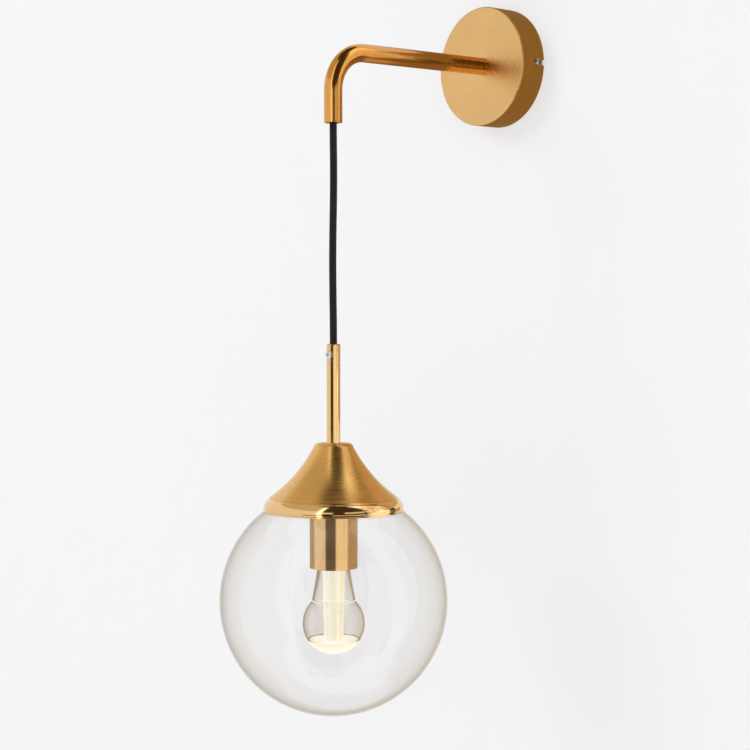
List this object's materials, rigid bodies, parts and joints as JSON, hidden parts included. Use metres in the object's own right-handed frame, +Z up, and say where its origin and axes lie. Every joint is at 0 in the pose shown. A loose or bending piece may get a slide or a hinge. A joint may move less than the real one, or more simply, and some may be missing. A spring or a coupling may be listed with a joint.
{
  "type": "wall sconce",
  "caption": "Wall light: round brass canopy, bent tube arm, pendant on a black fabric cord with a flared brass cap and a clear glass globe round a bulb.",
  "frame": {"origin": "centre of the wall plate's back face, on the wall, midway between the two wall screw slots", "axes": "+Z up, +X right seen from the room, +Y into the wall; the arm runs out along -Y"},
  "size_m": [0.2, 0.307, 0.6373],
  "materials": {
    "satin_brass": "brushed satin lacquered brass",
    "polished_brass": "polished lacquered brass",
    "plain_brass": "turned brass",
    "zinc_steel": "zinc plated steel",
    "spring_steel": "tempered spring steel",
    "nickel": "nickel plated",
    "solder": "soft solder",
    "black_nylon": "moulded nylon",
    "white_nylon": "moulded nylon",
    "black_fabric": "braided textile sleeve",
    "brown_insulation": "extruded insulation",
    "blue_insulation": "extruded insulation",
    "green_insulation": "extruded insulation",
    "clear_silicone": "translucent soft ring",
    "clear_glass": "clear blown glass",
    "ceramic_white": "unglazed porcelain",
    "black_vitrite": "glassy black insulator",
    "circuit_board": "circuit board",
    "white_board": "white light source board",
    "clear_plastic": "clear moulded plastic",
    "milky_plastic": "milky moulded plastic",
    "glowing_lens": "frosted lens, lit",
    "glowing_guide": "light guide, lit"
  },
  "bodies": {
    "wall_arm": {"wall_plate": "zinc_steel", "canopy": "satin_brass", "canopy_screws": "nickel", "arm_tube": "satin_brass", "arm_root_bush": "plain_brass", "arm_nipple": "zinc_steel", "arm_lock_washer": "zinc_steel", "arm_lock_nut": "zinc_steel", "arm_tip_bush": "black_nylon", "arm_cable": "black_fabric", "cord_grip": "white_nylon", "cord_grip_screw": "zinc_steel", "terminal_block": "white_nylon", "terminal_screws": "zinc_steel", "terminal_block_screw": "zinc_steel", "live_lead": "brown_insulation", "neutral_lead": "blue_insulation", "earth_lead": "green_insulation", "earth_tag": "nickel", "earth_screw": "plain_brass"},
    "cord_swivel": {"cord_bend": "black_fabric"},
    "pendant": {"cap_nut": "zinc_steel", "cap_washer": "zinc_steel", "carrier_nuts": "zinc_steel", "centre_contact": "plain_brass", "clip_carrier": "plain_brass", "clip_rivets": "nickel", "cup_nut": "zinc_steel", "hanging_cord": "black_fabric", "holder_cup": "polished_brass", "lampholder_core": "ceramic_white", "lampholder_dome": "ceramic_white", "lampholder_live_lead": "brown_insulation", "lampholder_neutral_lead": "blue_insulation", "lampholder_screws": "nickel", "lampholder_shell": "nickel", "lampholder_skirt": "ceramic_white", "rim_cushion": "clear_silicone", "shade_cap": "satin_brass", "spring_clips": "spring_steel", "stem_cable": "black_fabric", "stem_grip_sleeve": "plain_brass", "stem_set_screw": "nickel", "stem_tube": "polished_brass", "threaded_pipe": "zinc_steel"},
    "globe": {"glass_globe": "clear_glass"},
    "bulb_travel": {"bulb_contact_tip": "solder"},
    "bulb": {"bulb_ball": "clear_plastic", "bulb_driver": "circuit_board", "bulb_insulator": "black_vitrite", "bulb_led_board": "white_board", "bulb_lens": "glowing_lens", "bulb_light_guide": "glowing_guide", "bulb_neck": "clear_plastic", "bulb_screw_shell": "nickel", "bulb_seam_ring": "milky_plastic"}
  },
  "joints": [
    {"name": "swing_sideways", "type": "hinge", "parent": "wall_arm", "child": "cord_swivel", "pos_m": [0, -0.207, -0.06], "axis": [0, 1, 0], "range_deg": [-20, 20]},
    {"name": "swing_outward", "type": "hinge", "parent": "cord_swivel", "child": "pendant", "pos_m": [0, -0.207, -0.06], "axis": [-1, 0, 0], "range_deg": [-14, 20]},
    {"name": "globe_drop", "type": "slide", "parent": "pendant", "child": "globe", "axis": [0, 0, -1], "range_m": [0, 0.14]},
    {"name": "bulb_drop", "type": "slide", "parent": "pendant", "child": "bulb_travel", "axis": [0, 0, -1], "range_m": [0, 0.0182]},
    {"name": "bulb_turn", "type": "hinge", "parent": "bulb_travel", "child": "bulb", "pos_m": [0, -0.207, -0.48233], "axis": [0, 0, -1], "range_deg": [0, 1800]}
  ],
  "couplings": [
    {"joint": "bulb_drop", "follows": "bulb_turn", "m_per_rad": 0.00057773}
  ]
}
